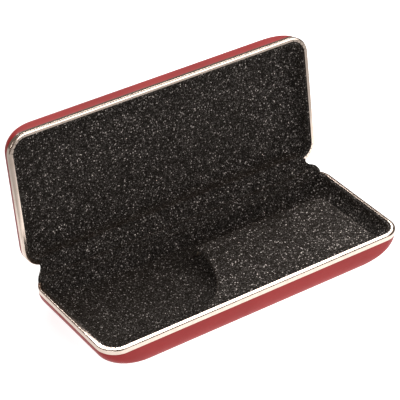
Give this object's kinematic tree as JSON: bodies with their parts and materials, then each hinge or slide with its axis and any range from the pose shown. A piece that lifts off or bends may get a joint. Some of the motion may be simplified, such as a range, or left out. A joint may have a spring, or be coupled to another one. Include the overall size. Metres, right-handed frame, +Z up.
{
  "type": "eyeglasses case",
  "caption": "Hard clamshell eyeglasses case with a spring-hinged lid, a metal rim round each half, flocked lining and a lining pocket.",
  "frame": {"origin": "centre of the lower half's flat underside", "axes": "+X along the length to the right, +Y from the front edge to the hinge, +Z up"},
  "size_m": [0.16, 0.0895, 0.0802],
  "materials": {
    "red_skin": "smooth satin red leather-like wrapping",
    "shell_steel": "pressed sheet steel, bare",
    "rim_metal": "polished pale gold plating on roll-formed strip",
    "foam": "thin open-cell foam sheet",
    "board": "moulded grey-brown board",
    "flock": "black flock with fine silvery fleck",
    "strip_fabric": "black flocked strip over the hinge",
    "hinge_steel": "zinc-plated stamped steel",
    "spring_steel": "blued spring steel"
  },
  "bodies": {
    "base": {"base_cover": "red_skin", "base_shell": "shell_steel", "base_rim": "rim_metal", "base_foam_sheet": "foam", "base_lining_board": "board", "base_lining": "flock", "pocket_board": "board", "pocket_cover": "flock", "left_base_hinge_leaf": "hinge_steel", "right_base_hinge_leaf": "hinge_steel", "left_hinge_pin": "hinge_steel", "right_hinge_pin": "hinge_steel", "left_snap_spring": "spring_steel", "right_snap_spring": "spring_steel", "left_base_rivets": "hinge_steel", "right_base_rivets": "hinge_steel", "hinge_strip": "strip_fabric"},
    "lid": {"lid_cover": "red_skin", "lid_shell": "shell_steel", "lid_rim": "rim_metal", "lid_foam_sheet": "foam", "lid_lining_board": "board", "lid_lining": "flock", "left_lid_hinge_leaf": "hinge_steel", "right_lid_hinge_leaf": "hinge_steel", "left_lid_rivets": "hinge_steel", "right_lid_rivets": "hinge_steel"}
  },
  "joints": [
    {"name": "lid_hinge", "type": "hinge", "parent": "base", "child": "lid", "pos_m": [0, 0.03425, 0.0149], "axis": [1, 0, 0], "range_deg": [0, 100], "deforming": ["hinge_strip"]}
  ]
}
